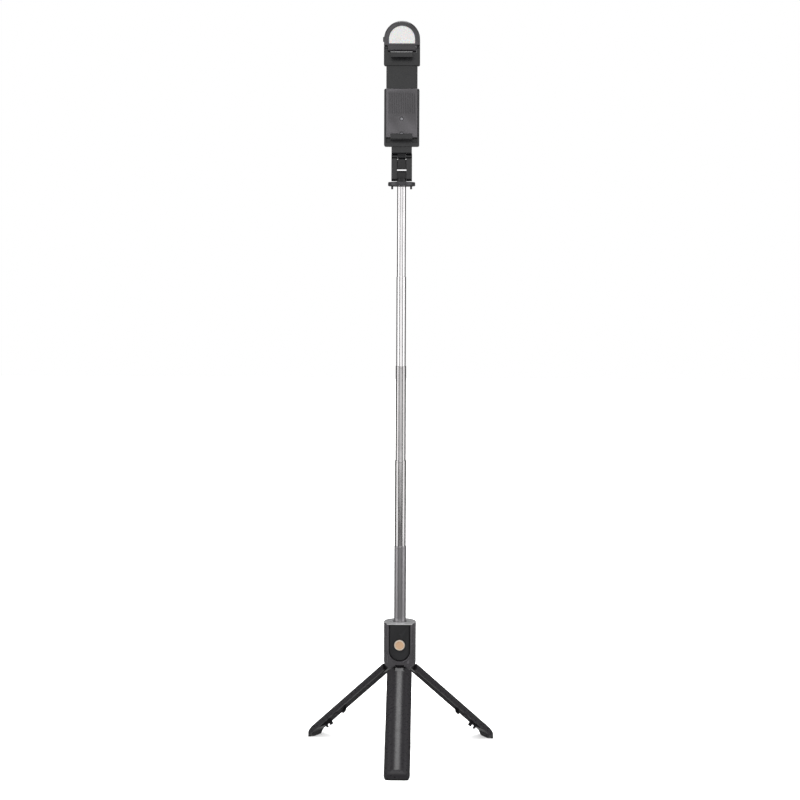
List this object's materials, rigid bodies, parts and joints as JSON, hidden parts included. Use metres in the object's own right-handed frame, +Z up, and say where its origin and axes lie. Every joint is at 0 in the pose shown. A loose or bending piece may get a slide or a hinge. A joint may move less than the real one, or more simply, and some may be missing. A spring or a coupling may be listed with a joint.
{
  "type": "selfie stick tripod",
  "caption": "Telescopic selfie stick standing on fold-out tripod legs, with a clip-in remote, a swivelling tilting neck, a spring-loaded phone clamp and a round-topped light",
  "frame": {"origin": "on the pole's axis at the floor, just under the plug that closes the pole's lower end", "axes": "+Z up along the pole, -Y towards the front, where the remote and the phone's screen face, +X to the right as seen from the front"},
  "size_m": [0.1854, 0.1618, 0.6998],
  "materials": {
    "shell_black": "satin moulded black",
    "leg_black": "satin moulded black",
    "plate_grey": "fine brushed grey",
    "hub_black": "plain moulded black",
    "screw_steel": "plain steel",
    "pin_steel": "ground steel",
    "tube_graphite": "dark anodised look",
    "tube_grey": "polished grey",
    "tube_light": "polished light grey",
    "glide_plastic": "plain",
    "rubber_black": "matt rubber",
    "remote_black": "fine matt black",
    "board_green": "solder mask",
    "switch_metal": "stamped",
    "cell_metal": "plain cell case",
    "contact_brass": "sprung strip",
    "button_copper": "rose gold coloured, satin",
    "lens_smoke": "smoked light pipe",
    "disc_grey": "satin dark grey",
    "clamp_black": "semi-gloss black",
    "spring_steel": "spring wire",
    "light_black": "semi-gloss black",
    "diffuser_white": "milky white",
    "pouch_silver": "foil"
  },
  "bodies": {
    "handle": {"handle_shell": "shell_black", "top_plate": "plate_grey", "tripod_hub": "hub_black", "hub_screws": "screw_steel", "outer_tube": "tube_graphite", "outer_tube_plug": "rubber_black", "leg_hinge_pins": "pin_steel"},
    "leg_front": {"leg_shell_front": "leg_black", "leg_sole_front": "rubber_black"},
    "leg_right": {"leg_shell_right": "leg_black", "leg_sole_right": "rubber_black"},
    "leg_left": {"leg_shell_left": "leg_black", "leg_sole_left": "rubber_black"},
    "remote": {"remote_front_shell": "remote_black", "remote_back_shell": "remote_black", "remote_circuit_board": "board_green", "remote_tact_switch": "switch_metal", "remote_battery": "cell_metal", "remote_battery_contact": "contact_brass", "remote_status_light": "lens_smoke"},
    "remote_key": {"remote_button": "button_copper"},
    "tube_1": {"pole_tube_1": "tube_graphite", "pole_glide_1": "glide_plastic"},
    "tube_2": {"pole_tube_2": "tube_grey", "pole_glide_2": "glide_plastic"},
    "tube_3": {"pole_tube_3": "tube_grey", "pole_glide_3": "glide_plastic"},
    "tube_4": {"pole_tube_4": "tube_light", "pole_glide_4": "glide_plastic"},
    "tube_5": {"pole_tube_5": "tube_light", "pole_glide_5": "glide_plastic", "pole_top_plug": "glide_plastic", "docking_disc": "disc_grey"},
    "swivel": {"swivel_lug": "hub_black", "swivel_screw": "screw_steel", "swivel_washer": "screw_steel"},
    "neck": {"neck_link": "clamp_black", "neck_detent_block": "hub_black", "lower_hinge_pin": "pin_steel", "upper_hinge_pin": "pin_steel"},
    "clamp": {"clamp_base": "clamp_black", "clamp_front_cover": "shell_black", "clamp_cover_screws": "screw_steel", "lower_jaw_pad": "rubber_black", "clamp_springs": "spring_steel"},
    "clamp_upper": {"clamp_slider": "clamp_black", "upper_jaw_pad": "rubber_black"},
    "light": {"light_housing": "light_black", "light_back_cover": "light_black", "light_diffuser": "diffuser_white", "light_led_board": "diffuser_white", "light_battery": "pouch_silver", "light_hinge_pin": "pin_steel", "light_charge_port": "screw_steel"},
    "light_key": {"light_power_button": "rubber_black"}
  },
  "joints": [
    {"name": "leg_front_fold", "type": "hinge", "parent": "handle", "child": "leg_front", "pos_m": [0, -0.0087, 0.0842], "axis": [-1, 0, 0], "range_deg": [-48.6, 0]},
    {"name": "leg_right_fold", "type": "hinge", "parent": "handle", "child": "leg_right", "pos_m": [0.00753, 0.00435, 0.0842], "axis": [0.5, -0.866, 0], "range_deg": [-48.6, 0]},
    {"name": "leg_left_fold", "type": "hinge", "parent": "handle", "child": "leg_left", "pos_m": [-0.00753, 0.00435, 0.0842], "axis": [0.5, 0.866, 0], "range_deg": [-48.6, 0]},
    {"name": "tube_1_slide", "type": "slide", "parent": "handle", "child": "tube_1", "axis": [0, 0, 1], "range_m": [-0.0741, 0]},
    {"name": "tube_2_slide", "type": "slide", "parent": "tube_1", "child": "tube_2", "axis": [0, 0, 1], "range_m": [-0.0831, 0]},
    {"name": "tube_3_slide", "type": "slide", "parent": "tube_2", "child": "tube_3", "axis": [0, 0, 1], "range_m": [-0.091, 0]},
    {"name": "tube_4_slide", "type": "slide", "parent": "tube_3", "child": "tube_4", "axis": [0, 0, 1], "range_m": [-0.0853, 0]},
    {"name": "tube_5_slide", "type": "slide", "parent": "tube_4", "child": "tube_5", "axis": [0, 0, 1], "range_m": [-0.085, 0]},
    {"name": "head_swivel", "type": "hinge", "parent": "tube_5", "child": "swivel", "pos_m": [0, 0, 0.5493], "axis": [0, 0, 1], "continuous": true},
    {"name": "neck_fold", "type": "hinge", "parent": "swivel", "child": "neck", "pos_m": [0, 0, 0.5583], "axis": [1, 0, 0], "range_deg": [-90, 0]},
    {"name": "clamp_tilt", "type": "hinge", "parent": "neck", "child": "clamp", "pos_m": [0, 0, 0.5738], "axis": [1, 0, 0], "range_deg": [-90, 60]},
    {"name": "clamp_open", "type": "slide", "parent": "clamp", "child": "clamp_upper", "axis": [0, 0, 1], "range_m": [-0.02, 0.009], "deforming": ["clamp_springs"]},
    {"name": "light_tilt", "type": "hinge", "parent": "clamp_upper", "child": "light", "pos_m": [0, -0.0044, 0.6736], "axis": [-1, 0, 0], "range_deg": [-90, 90]},
    {"name": "light_key_press", "type": "slide", "parent": "light", "child": "light_key", "axis": [1, 0, 0], "range_m": [0, 0.0004], "stiffness_N_per_m": 600, "springref_m": -0.001},
    {"name": "remote_release", "type": "slide", "parent": "handle", "child": "remote", "axis": [0, -1, 0], "range_m": [0, 0.018]},
    {"name": "remote_key_press", "type": "slide", "parent": "remote", "child": "remote_key", "axis": [0, 1, 0], "range_m": [0, 0.0004], "stiffness_N_per_m": 600, "springref_m": -0.001}
  ]
}
